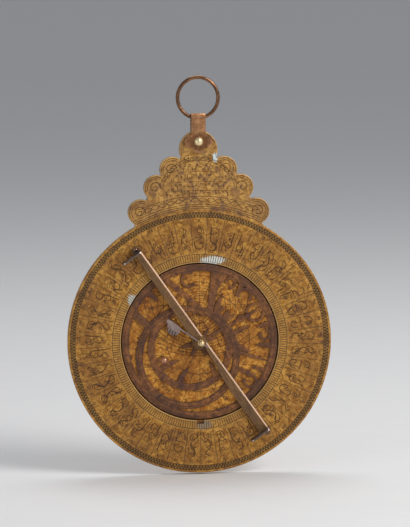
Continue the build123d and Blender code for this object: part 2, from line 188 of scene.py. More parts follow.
def line_cuts(lines, width, level, smooth=True):
    """Drawn cuts. Each line is a list of (x, z) places in mm about the disc's centre."""
    curve = bpy.data.curves.new("cuts", "CURVE")
    curve.dimensions = "3D"
    curve.bevel_depth = width / 2
    curve.bevel_resolution = 0
    curve.use_fill_caps = True
    curve.resolution_u = 4
    for places in lines:
        spline = curve.splines.new("NURBS" if smooth else "POLY")
        spline.points.add(len(places) - 1)
        for point, (x, z) in zip(spline.points, places):
            point.co = (x * mm, level, disc_z + z * mm, 1)
        if smooth:
            spline.order_u = min(4, len(places))
            spline.use_endpoint_u = True
    drawing = bpy.data.objects.new("cuts", curve)
    bpy.context.scene.collection.objects.link(drawing)
    take(drawing)
    bpy.ops.object.convert(target="MESH")
    drawing = bpy.context.object
    flat = 2 * proud / width
    drawing.scale.y = flat
    drawing.location.y = level * (1 - flat)
    return settle(drawing)


def numeral(text, height, radius, angle, level):
    """A plain number on a scale, its foot towards the centre. Height and radius in mm."""
    bpy.ops.object.text_add()
    number = bpy.context.object
    number.data.body = text
    number.data.size = height * mm * type_share
    number.data.align_x = "CENTER"
    number.data.align_y = "CENTER"
    number.data.resolution_u = 2
    number.data.extrude = proud
    bpy.ops.object.convert(target="MESH")
    number = bpy.context.object
    stand = Matrix.Rotation(math.pi / 2, 4, "X")
    if level > 0:
        stand = Matrix.Rotation(math.pi, 4, "Z") @ stand
    spin = Matrix.Rotation(-math.radians(angle - 90), 4, "Y")
    number.data.transform(spin @ stand)
    number.data.transform(Matrix.Translation(on_disc(radius, angle, level)))
    return number


# Shader effects shared by the metals


def new_group(name, inputs, outputs):
    group = bpy.data.node_groups.new(name, "ShaderNodeTree")
    for label, kind, start in inputs:
        socket = group.interface.new_socket(label, in_out="INPUT", socket_type=kind)
        if start is not None:
            socket.default_value = start
    for label in outputs:
        group.interface.new_socket(label, in_out="OUTPUT", socket_type="NodeSocketFloat")
    return group, group.nodes.new("NodeGroupInput"), group.nodes.new("NodeGroupOutput")


def feed(tree, socket, value):
    """Links an output to this input, or sets the input if value is a number, colour or vector."""
    if isinstance(value, bpy.types.NodeSocket):
        tree.links.new(value, socket)
    else:
        socket.default_value = value


def reckoned(tree, operation, *values):
    """One step of arithmetic on outputs or numbers."""
    node = tree.nodes.new("ShaderNodeMath")
    node.operation = operation
    for socket, value in zip(node.inputs, values):
        feed(tree, socket, value)
    return node.outputs[0]


def ramped(tree, value, low, high, to_low=0.0, to_high=1.0):
    """A smooth step from to_low to to_high as value goes from low to high."""
    node = tree.nodes.new("ShaderNodeMapRange")
    node.interpolation_type = "SMOOTHSTEP"
    for socket, number in zip(node.inputs, (value, low, high, to_low, to_high)):
        feed(tree, socket, number)
    return node.outputs[0]


def mixed(tree, share, below, above):
    node = tree.nodes.new("ShaderNodeMix")
    node.data_type = "RGBA"
    feed(tree, node.inputs[0], share)
    feed(tree, node.inputs[6], below)
    feed(tree, node.inputs[7], above)
    return node.outputs[2]


def noise(tree, place, scale, detail, rough, distortion=0.0):
    node = tree.nodes.new("ShaderNodeTexNoise")
    tree.links.new(place, node.inputs["Vector"])
    node.inputs["Scale"].default_value = scale
    node.inputs["Detail"].default_value = detail
    node.inputs["Roughness"].default_value = rough
    node.inputs["Distortion"].default_value = distortion
    return node.outputs["Fac"]


def make_patina_group():
    """Old handled metal: broad clouds of tarnish, small mottling, dark pits and a worn surface."""
    group, start, end = new_group(
        "patina",
        [("Vector", "NodeSocketVector", None)],
        ["Clouds", "Mottle", "Pits", "Stains", "Height"],
    )
    place = start.outputs["Vector"]
    clouds = ramped(group, noise(group, place, 38, 5, 0.62, 0.6), 0.36, 0.66)
    mottle = ramped(group, noise(group, place, 300, 5, 0.72, 0.6), 0.36, 0.64)
    stains = ramped(group, noise(group, place, 95, 6, 0.7, 1.2), 0.5, 0.66)
    pits = ramped(group, noise(group, place, 900, 2, 0.5), 0.66, 0.76)
    dents = noise(group, place, 120, 3, 0.5)
    height = reckoned(group, "MULTIPLY_ADD", dents, 2.0, mottle)
    height = reckoned(group, "SUBTRACT", height, pits)
    for socket, value in zip(end.inputs, (clouds, mottle, pits, stains, height)):
        group.links.new(value, socket)
    return group


def make_rubbing_group():
    """Fine scratches from cleaning, along the X of the place given."""
    group, start, end = new_group(
        "rubbing",
        [("Vector", "NodeSocketVector", None)],
        ["Streaks"],
    )
    stretch = group.nodes.new("ShaderNodeMapping")
    stretch.inputs["Scale"].default_value = (1, 14, 14)
    group.links.new(start.outputs["Vector"], stretch.inputs["Vector"])
    streaks = ramped(group, noise(group, stretch.outputs[0], 130, 3, 0.7), 0.3, 0.75)
    group.links.new(streaks, end.inputs["Streaks"])
    return group


def make_ring_band_group():
    """A band between two radii round the disc's axis, with soft edges."""
    group, start, end = new_group(
        "ring_band",
        [
            ("Vector", "NodeSocketVector", None),
            ("Inner", "NodeSocketFloat", 0.05),
            ("Outer", "NodeSocketFloat", 0.06),
            ("Soft", "NodeSocketFloat", 0.001),
        ],
        ["Band"],
    )
    parts = group.nodes.new("ShaderNodeSeparateXYZ")
    group.links.new(start.outputs["Vector"], parts.inputs[0])
    up = reckoned(group, "SUBTRACT", parts.outputs["Z"], disc_z)
    squares = reckoned(group, "MULTIPLY", up, up)
    squares = reckoned(group, "MULTIPLY_ADD", parts.outputs["X"], parts.outputs["X"], squares)
    radius = reckoned(group, "SQRT", squares)
    soft = start.outputs["Soft"]
    inner_low = reckoned(group, "SUBTRACT", start.outputs["Inner"], soft)
    outer_high = reckoned(group, "ADD", start.outputs["Outer"], soft)
    rising = ramped(group, radius, inner_low, start.outputs["Inner"])
    falling = ramped(group, radius, start.outputs["Outer"], outer_high, 1.0, 0.0)
    group.links.new(reckoned(group, "MULTIPLY", rising, falling), end.inputs["Band"])
    return group


def vector_step(tree, operation, *values):
    node = tree.nodes.new("ShaderNodeVectorMath")
    node.operation = operation
    for socket, value in zip(node.inputs, values):
        tree.links.new(value, socket)
    return node


def make_spot_group():
    """A ragged patch round one place, as where dried polish or moisture has stayed, and for painted
    highlights and shadows.
    """
    group, start, end = new_group(
        "spot",
        [
            ("Vector", "NodeSocketVector", None),
            ("Place", "NodeSocketVector", (0, 0, 0)),
            ("Reach", "NodeSocketVector", (0.01, 0.01, 0.01)),
        ],
        ["Patch"],
    )
    place = start.outputs["Vector"]
    away = vector_step(group, "SUBTRACT", place, start.outputs["Place"])
    shared = vector_step(group, "DIVIDE", away.outputs[0], start.outputs["Reach"])
    length = vector_step(group, "LENGTH", shared.outputs[0])
    ragged = noise(group, place, 700, 3, 0.7)
    distance = reckoned(group, "MULTIPLY_ADD", ragged, 0.9, length.outputs["Value"])
    group.links.new(ramped(group, distance, 1.0, 1.35, 1.0, 0.0), end.inputs["Patch"])
    return group


def facing(group):
    """How far a face looks along the disc's axis: 0 on an upright wall, 1 on a flat face."""
    where = group.nodes.new("ShaderNodeTexCoord")
    parts = group.nodes.new("ShaderNodeSeparateXYZ")
    group.links.new(where.outputs["Normal"], parts.inputs[0])
    return reckoned(group, "ABSOLUTE", parts.outputs["Y"])


def make_bevel_shine_group():
    """The slanted faces between a plate's face and its edge, where a highlight is painted."""
    group, _, end = new_group("bevel_shine", [], ["Shine"])
    slant = facing(group)
    rising = ramped(group, slant, 0.15, 0.45)
    falling = ramped(group, slant, 0.86, 0.97, 1.0, 0.0)
    group.links.new(reckoned(group, "MULTIPLY", rising, falling), end.inputs["Shine"])
    return group


def make_wall_grime_group():
    """The upright walls of cut openings, darkened with painted shade."""
    group, _, end = new_group("wall_grime", [], ["Grime"])
    group.links.new(ramped(group, facing(group), 0.5, 0.97, 1.0, 0.0), end.inputs["Grime"])
    return group


effects = {
    "wall_grime": make_wall_grime_group(),
    "patina": make_patina_group(),
    "rubbing": make_rubbing_group(),
    "ring_band": make_ring_band_group(),
    "spot": make_spot_group(),
    "bevel_shine": make_bevel_shine_group(),
}


def effect(tree, name, **values):
    """Places one shared effect in a material with its own values."""
    node = tree.nodes.new("ShaderNodeGroup")
    node.node_tree = effects[name]
    for label, value in values.items():
        feed(tree, node.inputs[label], value)
    return node.outputs


def tone(red, green, blue):
    """A colour as it looks, 0 to 255, in the values that the shader takes."""

    def straight(part):
        share = part / 255
        return share / 12.92 if share <= 0.04045 else ((share + 0.055) / 1.055) ** 2.4

    return (straight(red), straight(green), straight(blue), 1.0)


# A stain's and a pit's tone as shares of the metal's darkest one, what clouds, spots and painted highlights
# do to roughness, how deep a spot goes into the metal, and how deep the finest relief seems
stain_shares = (0.8, 0.82, 1.1)
pit_share = 0.45
cloud_dullness = 0.16
spot_dullness = 0.2
highlight_dullness = 0.06
spot_depth = 20 * mm
relief_depth = 0.2 * mm


class Metal:
    """A metal's material while it is being built up, colour over colour."""

    def __init__(self, name, metallic, rough):
        self.material = bpy.data.materials.new(name)
        self.material.use_nodes = True
        self.tree = self.material.node_tree
        self.shader = self.tree.nodes["Principled BSDF"]
        self.shader.inputs["Metallic"].default_value = metallic
        self.rough = rough
        self.place = self.tree.nodes.new("ShaderNodeTexCoord").outputs["Object"]
        self.colour = None
        self.height = None
        self.dullness = rough

    def aged(self, bare, warm, dark, tarnish, pits, stained=0.5):
        """Three tones of one old metal, clouded, mottled and stained, with dark pits."""
        patina = effect(self.tree, "patina", Vector=self.place)
        share = reckoned(self.tree, "MULTIPLY", patina["Clouds"], tarnish)
        self.colour = mixed(self.tree, patina["Mottle"], tone(*bare), tone(*warm))
        self.colour = mixed(self.tree, share, self.colour, tone(*dark))
        stain = reckoned(self.tree, "MULTIPLY", patina["Stains"], stained)
        stain_tone = tone(*[part * share for part, share in zip(dark, stain_shares)])
        self.colour = mixed(self.tree, stain, self.colour, stain_tone)
        pitted = reckoned(self.tree, "MULTIPLY", patina["Pits"], pits)
        self.colour = mixed(self.tree, pitted, self.colour, tone(*[part * pit_share for part in dark]))
        self.height = patina["Height"]
        self.dullness = reckoned(self.tree, "MULTIPLY_ADD", patina["Clouds"], cloud_dullness, self.rough)
        return self

    def over(self, mask, colour, strength, rougher=0.0):
        """Lays one more tone over the metal where the mask is."""
        share = reckoned(self.tree, "MULTIPLY", mask, strength)
        self.colour = mixed(self.tree, share, self.colour, tone(*colour))
        if rougher:
            self.dullness = reckoned(self.tree, "MULTIPLY_ADD", share, rougher, self.dullness)
        return self

    def band(self, inner, outer, colour, strength, soft, rougher=0.0):
        """A band of another tone between two radii, its edges soft over a third length, in mm."""
        mask = effect(
            self.tree,
            "ring_band",
            Vector=self.place,
            Inner=inner * mm,
            Outer=outer * mm,
            Soft=soft * mm,
        )["Band"]
        return self.over(mask, colour, strength, rougher)

    def spot(self, x, z, reach_x, reach_z, colour, strength):
        """A ragged patch, its place and reach in mm about the disc's centre."""
        mask = effect(
            self.tree,
            "spot",
            Vector=self.place,
            Place=(x * mm, limb_face, disc_z + z * mm),
            Reach=(reach_x * mm, spot_depth, reach_z * mm),
        )["Patch"]
        return self.over(mask, colour, strength, spot_dullness)

    def rubbed(self, angle, colour, strength):
        """Cleaning scratches along one direction, in degrees from +X."""
        turn = self.tree.nodes.new("ShaderNodeMapping")
        turn.vector_type = "POINT"
        turn.inputs["Rotation"].default_value = (0, math.radians(angle), 0)
        self.tree.links.new(self.place, turn.inputs["Vector"])
        streaks = effect(self.tree, "rubbing", Vector=turn.outputs[0])["Streaks"]
        return self.over(streaks, colour, strength)

    def shined(self, colour, strength):
        """Painted highlights on the slanted edges."""
        highlight = effect(self.tree, "bevel_shine")["Shine"]
        return self.over(highlight, colour, strength, highlight_dullness)

    def done(self, bump=0.15):
        self.tree.links.new(self.colour, self.shader.inputs["Base Color"])
        feed(self.tree, self.shader.inputs["Roughness"], self.dullness)
        relief = self.tree.nodes.new("ShaderNodeBump")
        relief.inputs["Strength"].default_value = bump
        relief.inputs["Distance"].default_value = relief_depth
        self.tree.links.new(self.height, relief.inputs["Height"])
        self.tree.links.new(relief.outputs[0], self.shader.inputs["Normal"])
        return self.material


# Materials of the astrolabe

# Zones of the limb whose metal differs, and a painted highlight on the recess's rim, as (inner, outer)
# radii in mm
scroll_zone = (71.5, 89.5)
ladder_zone = (94.5, 98.0)
recess_rim_highlight = (59.0, 60.6)
tick_zone = (60.4, 67.6)

# Pale residue, a dark stain, painted highlights and a painted shadow, as (x, z, reach across, reach up)
# in mm about the disc's centre
recess_top_highlight = (10, 61.6, 13, 4.2)
side_residue = (-51, 32.5, 4.5, 6.0)
notch_residue = (3, -63.5, 8, 4.5)
crown_notch_highlight = (12.6, 139.4, 2.6, 4.6)
lobe_notch_highlight = (-48.8, 86.0, 2.6, 2.6)
strap_pin_shadow = (0, 151.0, 11.0, 9.0)


def make_limb_brass():
    metal = Metal("limb_brass", 0.8, 0.42)
    metal.aged((232, 176, 86), (152, 100, 36), (124, 84, 50), 0.62, 0.85, 0.7)
    metal.rubbed(20, (150, 104, 60), 0.3)
    metal.band(*scroll_zone, (124, 84, 48), 0.22, 3.0)
    metal.band(*ladder_zone, (112, 86, 46), 0.6, 0.5, 0.1)
    # A painted highlight round the recess's rim
    metal.band(*recess_rim_highlight, (214, 176, 118), 0.7, 0.2)
    metal.band(*tick_zone, (188, 144, 76), 0.4, 0.6)
    # A painted highlight at the top of the recess; the side and notch patches are residue
    metal.spot(*recess_top_highlight, (214, 220, 214), 0.9)
    metal.spot(*side_residue, (206, 214, 210), 0.8)
    metal.spot(*notch_residue, (126, 130, 124), 0.6)
    metal.shined((176, 138, 88), 0.4)
    return metal.done()


def make_throne_brass():
    metal = Metal("throne_brass", 0.8, 0.44)
    metal.aged((228, 178, 98), (160, 112, 52), (130, 96, 64), 0.65, 0.85, 0.75)
    metal.rubbed(-12, (164, 124, 82), 0.3)
    # Painted highlights at the throne's notches beside the crown and at a side lobe
    metal.spot(*crown_notch_highlight, (206, 222, 226), 0.95)
    metal.spot(*lobe_notch_highlight, (210, 218, 214), 0.9)
    metal.shined((212, 178, 126), 0.6)
    return metal.done()


def make_back_brass():
    metal = Metal("back_brass", 0.8, 0.45)
    metal.aged((226, 176, 98), (184, 134, 68), (138, 98, 56), 0.6, 0.6, 0.5)
    metal.rubbed(-35, (164, 120, 70), 0.3)
    metal.shined((200, 164, 108), 0.5)
    return metal.done()


def make_tympan_brass():
    metal = Metal("tympan_brass", 0.75, 0.4)
    metal.aged((240, 176, 80), (168, 100, 34), (122, 70, 32), 0.7, 0.85, 0.85)
    metal.rubbed(50, (150, 100, 48), 0.3)
    # Painted shade, near black, in the gap between the rete's edge and the recess wall
    metal.band(rete_r / mm - 0.5, recess_r / mm, (26, 18, 12), 0.95, 0.1)
    return metal.done()


def make_rete_bronze():
    metal = Metal("rete_bronze", 0.7, 0.46)
    metal.aged((164, 108, 64), (104, 64, 40), (74, 54, 50), 0.8, 0.85, 0.8)
    metal.rubbed(10, (138, 94, 50), 0.4)
    # Painted shade, near black, on the upright walls of the openings
    metal.over(effect(metal.tree, "wall_grime")["Grime"], (24, 15, 10), 0.95)
    return metal.done()


def make_rule_bronze():
    metal = Metal("rule_bronze", 0.75, 0.4)
    metal.aged((132, 100, 68), (106, 78, 52), (78, 62, 50), 0.7, 0.6)
    metal.rubbed(rule_angle, (160, 120, 76), 0.5)
    metal.shined((236, 204, 178), 0.85)
    return metal.done()


def make_vane_bronze():
    metal = Metal("vane_bronze", 0.8, 0.36)
    metal.aged((128, 114, 106), (98, 84, 78), (62, 52, 52), 0.7, 0.6)
    metal.shined((222, 214, 206), 0.8)
    return metal.done()


def make_ring_bronze():
    metal = Metal("ring_bronze", 0.9, 0.2)
    metal.aged((158, 116, 84), (118, 84, 58), (78, 54, 42), 0.7, 0.6)
    return metal.done()


def make_strap_copper():
    metal = Metal("strap_copper", 0.85, 0.36)
    metal.aged((206, 152, 104), (158, 106, 66), (112, 74, 46), 0.75, 0.7, 0.7)
    metal.rubbed(90, (206, 164, 128), 0.3)
    # Painted shadow round the shackle pin
    metal.spot(*strap_pin_shadow, (92, 58, 34), 0.75)
    return metal.done()


def make_pale_brass():
    metal = Metal("pale_brass", 0.9, 0.28)
    metal.aged((246, 230, 186), (232, 208, 156), (176, 146, 100), 0.4, 0.3, 0.2)
    return metal.done()


def make_knob_bronze():
    metal = Metal("knob_bronze", 0.8, 0.34)
    metal.aged((196, 146, 118), (170, 118, 92), (120, 80, 60), 0.6, 0.5)
    return metal.done()


def make_wedge_steel():
    metal = Metal("wedge_steel", 0.85, 0.34)
    metal.aged((176, 156, 150), (150, 128, 120), (108, 88, 82), 0.6, 0.5)
    metal.shined((220, 200, 190), 0.6)
    return metal.done()


def make_inlay(name, colour, deep):
    """Dark matter packed in the engraved lines."""
    metal = Metal(name, 0.25, 0.62)
    metal.aged(colour, colour, deep, 0.9, 0.4)
    return metal.done(0.1)


# The rule's direction: from the lower sight vane to the upper one
vane_low = sum(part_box("lower_sight_vane"), Vector()) / 2
vane_high = sum(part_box("upper_sight_vane"), Vector()) / 2
rule_line = vane_high - vane_low
rule_angle = math.degrees(math.atan2(rule_line.z, rule_line.x))

limb_brass = make_limb_brass()
throne_brass = make_throne_brass()
back_brass = make_back_brass()
tympan_brass = make_tympan_brass()
rete_bronze = make_rete_bronze()
rule_bronze = make_rule_bronze()
vane_bronze = make_vane_bronze()
ring_bronze = make_ring_bronze()
strap_copper = make_strap_copper()
pale_brass = make_pale_brass()
knob_bronze = make_knob_bronze()
wedge_steel = make_wedge_steel()
dark_inlay = make_inlay("dark_inlay", (78, 52, 30), (52, 34, 22))
brown_inlay = make_inlay("brown_inlay", (84, 52, 24), (60, 38, 20))
rim_inlay = make_inlay("rim_inlay", (50, 38, 24), (34, 26, 18))
rete_inlay = make_inlay("rete_inlay", (58, 40, 28), (42, 30, 24))

finishes = {
    "suspension_ring": ring_bronze,
    "shackle_strap": strap_copper,
    "shackle_pin": pale_brass,
    "throne": throne_brass,
    "throne_pins": throne_brass,
    "back_plate": back_brass,
    "limb_ring": limb_brass,
    "limb_pins": back_brass,
    "lower_tympan": tympan_brass,
    "middle_tympan": tympan_brass,
    "upper_tympan": tympan_brass,
    "rete": rete_bronze,
    "rete_knob": knob_bronze,
    "rete_washer": rule_bronze,
    "rule_bar": rule_bronze,
    "upper_sight_vane": vane_bronze,
    "lower_sight_vane": vane_bronze,
    "vane_rivets": ring_bronze,
    "centre_pin": pale_brass,
    "pin_washer": rule_bronze,
    "horse_wedge": wedge_steel,
}
for node_name, finish in finishes.items():
    for material_slot in nodes[node_name].material_slots:
        material_slot.material = finish


# Engraving of the limb

cell_count = 45
cell_step = 360 / cell_count
ticks_per_cell = 5
rim_ticks = 540

# Radii in mm, from the recess out: the ticks, the cells with their scrollwork and numbers, and the rim
recess_circle = recess_r / mm + 0.9
tick_foot = recess_r / mm + 0.7
tick_top = 66.2
cell_low = 66.4
cell_high = 94.5
scroll_foot = 68.8
scroll_top = 89.6
cell_number_r = 91.8
ladder_low = (94.8, 96.3)
ladder_high = (96.6, 98.0)
rim_circle = 98.1

# Widths of the limb's own cuts, and how high its numbers are in mm
tick_cut = 0.6 * mm
wall_cut = 0.45 * mm
ladder_high_cut = 1.1 * mm
ladder_low_cut = 1.2 * mm
bold_stroke = 0.62 * mm
fine_stroke = 0.42 * mm
dot_width = 0.8 * mm
cell_number_high = 2.3


def cell_place(middle, across, out):
    """Where a drawing's point (mm across a cell, mm out from the centre) lies on the disc."""
    turn = math.radians(middle) - across / out
    return out * math.cos(turn), out * math.sin(turn)


# Traditional scrollwork: strokes in a field about 8 wide and 18 high, as (across, up) places
field_high = 18
tall_stem = [(-2.6, 0.4), (-3.6, 3.6), (0.2, 5.6), (3.2, 8.8)]
tall_stem += [(1.6, 12.8), (-2.0, 14.2), (-2.4, 16.8), (0.4, 17.8)]
bent_stem = [(3.2, 0.6), (2.4, 5.0), (3.0, 10.0), (0.6, 12.6)]
bent_stem += [(-2.6, 11.4), (-3.2, 14.6), (-1.4, 17.6), (1.8, 16.8)]
long_tail = [(-3.4, 17.4), (-3.0, 12.0), (-3.8, 7.2), (-1.4, 4.4), (1.8, 5.6), (2.6, 8.8), (0.4, 9.8)]
low_bowl = [(-3.6, 6.8), (-3.4, 2.6), (-0.6, 0.8), (2.4, 2.0), (3.4, 5.4), (1.4, 6.8), (0.2, 4.8)]
high_bowl = [(3.4, 11.4), (3.6, 15.2), (1.0, 17.2), (-1.8, 15.4), (-1.4, 12.4), (0.8, 12.6)]
wave = [(-3.8, 8.6), (-2.2, 10.6), (-0.4, 8.0), (1.6, 10.4), (3.8, 8.8)]
upright = [(2.8, 1.4), (3.1, 6.4), (2.7, 10.6)]
eye = [(0.2, 2.0), (1.9, 3.4), (0.6, 5.2), (-1.2, 3.8), (0.2, 2.0)]
leaf = [(-2.8, 9.4), (-0.6, 10.6), (0.6, 13.4), (-2.0, 12.6), (-2.8, 9.4)]
scroll_sets = [
    [tall_stem, upright, eye],
    [bent_stem, low_bowl, leaf],
    [long_tail, high_bowl, eye],
    [low_bowl, wave, high_bowl],
    [tall_stem, high_bowl, low_bowl],
    [bent_stem, wave, eye],
    [long_tail, upright, leaf],
]
small_strokes = [
    [(-2.2, 8.0), (-0.6, 10.4), (0.4, 7.6), (2.4, 10.6)],
    [(-1.8, 10.8), (1.6, 9.8), (-0.6, 7.4), (2.2, 6.6)],
    [(0.2, 6.0), (-0.6, 9.4), (1.2, 11.6), (0.4, 14.0)],
    [(-2.0, 9.2), (0.0, 7.4), (2.0, 9.0), (0.2, 10.8), (-1.2, 9.8)],
    [(-3.0, 7.6), (3.0, 9.8)],
    [(2.0, 6.4), (1.8, 9.0), (-1.6, 9.4), (-2.0, 12.0)],
]
dot_places = [(-1.0, 7.4), (1.6, 15.6), (3.4, 12.6), (-3.4, 16.2), (0.4, 10.8)]

# How unsteady the graver's hand is, half a dot's length, and how far small strokes stray, in mm
shake = 0.35
dot_half = 0.35
stray_across = 2.4
stray_up = 6.5


def make_limb_circles():
    circles = [
        ring_cut(recess_circle, hair_cut, limb_face),
        ring_cut(cell_low, plain_cut, limb_face),
        ring_cut(cell_high, plain_cut, limb_face),
        ring_cut(ladder_low[1], hair_cut, limb_face),
        ring_cut(rim_circle, plain_cut, limb_face),
    ]
    return carried(joined(circles), "limb_circles", "mater", dark_inlay)


def make_limb_ticks():
    step = cell_step / ticks_per_cell
    tick = radial_cut(tick_foot, tick_top, tick_cut, limb_face)
    ticks = repeat_round(tick, cell_count * ticks_per_cell, step)
    return carried(ticks, "limb_ticks", "mater", brown_inlay)


def make_rim_ladder():
    """Two rows of short cuts between the circles at the rim, one row half a step on."""
    step = 360 / rim_ticks
    outer_tick = radial_cut(*ladder_high, ladder_high_cut, limb_face)
    inner_tick = radial_cut(*ladder_low, ladder_low_cut, limb_face, 90 + step)
    outer = repeat_round(outer_tick, rim_ticks // 2, 2 * step)
    inner = repeat_round(inner_tick, rim_ticks // 2, 2 * step)
    return carried(joined([outer, inner]), "rim_ladder", "mater", rim_inlay)


def make_cell_walls():
    wall = radial_cut(cell_low, cell_high, wall_cut, limb_face, 90 + cell_step / 2)
    walls = repeat_round(wall, cell_count, cell_step)
    return carried(walls, "cell_walls", "mater", dark_inlay)


def make_cell_scrolls():
    """Scrollwork in every cell: seven sets of strokes, some turned over, cut with an unsteady hand."""
    hand = random.Random(12)
    bold, light, fine, dots = [], [], [], []
    for cell in range(cell_count):
        middle = 90 + cell * cell_step
        strokes = scroll_sets[hand.randrange(len(scroll_sets))]
        mirror = hand.choice((-1, 1))
        flip = hand.random() < 0.4
        tall = (scroll_top - scroll_foot) / field_high * hand.uniform(0.86, 1.0)
        for number, stroke in enumerate(strokes):
            line = []
            for across, up in stroke:
                up = field_high - up if flip else up
                across = mirror * across + hand.uniform(-shake, shake)
                line.append(cell_place(middle, across, scroll_foot + up * tall))
            (bold if number == 0 else light).append(line)
        for stroke in hand.sample(small_strokes, 4):
            away = hand.uniform(-stray_across, stray_across)
            lift = hand.uniform(-stray_up, stray_up)
            line = []
            for across, up in stroke:
                line.append(cell_place(middle, 0.7 * across + away, scroll_foot + (up + lift) * tall))
            fine.append(line)
        for across, up in hand.sample(dot_places, hand.choice((1, 2, 3))):
            out = scroll_foot + up * tall
            start = cell_place(middle, mirror * across - dot_half, out)
            stop = cell_place(middle, mirror * across + dot_half, out + 0.3)
            dots.append([start, stop])
    pieces = [
        line_cuts(bold, bold_stroke, limb_face),
        line_cuts(light, stroke_cut, limb_face),
        line_cuts(fine, fine_stroke, limb_face),
        line_cuts(dots, dot_width, limb_face, smooth=False),
    ]
    return carried(joined(pieces), "cell_scrolls", "mater", brown_inlay)


def make_cell_numbers():
    """The degrees that end each cell, counted from the throne to the right."""
    numbers = []
    for cell in range(cell_count):
        degrees = round((cell + 1) * cell_step)
        angle = 90 - cell * cell_step
        numbers.append(numeral(str(degrees), cell_number_high, cell_number_r, angle, limb_face))
    return carried(joined(numbers), "cell_numbers", "mater", dark_inlay)


# Engraving of the throne

# In mm above the disc's centre: the dome over the panel, and the throne's lobes as (x, z, radius)
dome_z = 109.0
dome_r = 28.5
crown_lobe = (0.0, 145.3, 14.4)
right_lobes = [(19.5, 130.3, 9.8), (31.8, 116.8, 9.7), (43.6, 98.4, 9.9)]

# The lines that follow them: degrees along each lobe, distances from the lobe's edge in mm, and for
# the crown each line's distance with its degrees
lobe_arcs = [(-14, 118), (-18, 112), (-52, 112)]
lobe_insets = (1.2, 2.7)
crown_arcs = [(1.2, -20, 200), (2.6, -12, 192)]
border_cut = 0.36 * mm
strand_cut = 0.38 * mm

# Arcs over the limb and the dome, as (radius, start, stop), and the strands between them
foot_arcs = [(101.3, 62.5, 117.5), (102.7, 62, 118), (104.4, 61.5, 118.5)]
dome_arcs = [(dome_r, 14, 166), (dome_r + 2.4, 20, 160)]
plait_top = (110.4, 66, 114)
plait_arc = (107.4, 64, 116)
plait_wave = (2.0, 6.5)
rope_arc = (dome_r + 1.2, 24, 156)
rope_wave = (0.8, 8.2)

# Rows of scrollwork in the panel, as (height above the disc's centre, size)
panel_rows = [(131.0, 0.30), (123.4, 0.32), (116.6, 0.30), (111.8, 0.24)]
panel_bow = 1.2
panel_margin = 3.0
row_foot = 2.9
row_middle = 1.2
mark_lead = 1.6
mark_pitch = (2.3, 3.4)
panel_rule_cut = 0.3 * mm

# The curl beside the pin, and the curls in the lobes: their shift and inset in mm and their winding
pin_curl = (8.6, 138.6, 2.8, 0.6, 120, -420)
curl_shift = (1.4, 0.4)
curl_inset = 4.8
lobe_curl = (0.8, 200, -480)

# Degrees between the places along a curl, and places along one swing of a strand
curl_step = 24
places_per_swing = 6


def arc(x, z, radius, start, stop, step=6.0):
    """Places along an arc, in mm about the disc's centre."""
    count = max(2, round(abs(stop - start) / step))
    places = []
    for number in range(count + 1):
        turn = math.radians(start + (stop - start) * number / count)
        places.append((x + radius * math.cos(turn), z + radius * math.sin(turn)))
    return places


def spiral(x, z, outer, inner, start, sweep):
    """A curl that winds in from one radius to another."""
    places = []
    count = round(abs(sweep) / curl_step)
    for number in range(count + 1):
        share = number / count
        turn = math.radians(start + sweep * share)
        radius = outer + (inner - outer) * share
        places.append((x + radius * math.cos(turn), z + radius * math.sin(turn)))
    return places


def mirrored(lines):
    return [[(-x, z) for x, z in line] for line in lines]


def wavy_arc(x, z, radius, start, stop, swing, period, shift=0.0):
    """A strand that swings to both sides of an arc. Swing in mm, period in degrees."""
    count = round((stop - start) / period * places_per_swing)
    places = []
    for number in range(count + 1):
        angle = start + (stop - start) * number / count
        off = radius + swing * math.sin(2 * math.pi * (angle - start) / period + shift)
        turn = math.radians(angle)
        places.append((x + off * math.cos(turn), z + off * math.sin(turn)))
    return places


def make_throne_borders():
    """The double line along every lobe, the dome's arcs, and the arcs that close the throne on the limb."""
    right = []
    for (x, z, r), span in zip(right_lobes, lobe_arcs):
        right += [arc(x, z, r - inset, *span) for inset in lobe_insets]
    crown_x, crown_z, crown_r = crown_lobe
    lines = right + mirrored(right)
    lines += [arc(crown_x, crown_z, crown_r - inset, *span) for inset, *span in crown_arcs]
    lines += [arc(0, 0, *bow) for bow in foot_arcs]
    lines += [arc(0, dome_z, *bow) for bow in dome_arcs]
    border = line_cuts(lines, border_cut, throne_face)
    return carried(border, "throne_borders", "mater", brown_inlay)


def make_throne_strands():
    """Plaited strands: one band over the limb and a narrow rope round the dome."""
    plait = [wavy_arc(0, 0, *plait_arc, *plait_wave, shift) for shift in (0.0, math.pi)]
    plait.append(arc(0, 0, *plait_top))
    rope = [wavy_arc(0, dome_z, *rope_arc, *rope_wave)]
    pieces = [line_cuts(strand, strand_cut, throne_face) for strand in (plait, rope)]
    return carried(joined(pieces), "throne_strands", "mater", brown_inlay)


def make_throne_curls():
    """A curl in each side lobe, and a pair beside the pin."""
    right = []
    for x, z, r in right_lobes:
        right.append(spiral(x + curl_shift[0], z + curl_shift[1], r - curl_inset, *lobe_curl))
    right.append(spiral(*pin_curl))
    curls = line_cuts(right + mirrored(right), stroke_cut, throne_face)
    return carried(curls, "throne_curls", "mater", brown_inlay)


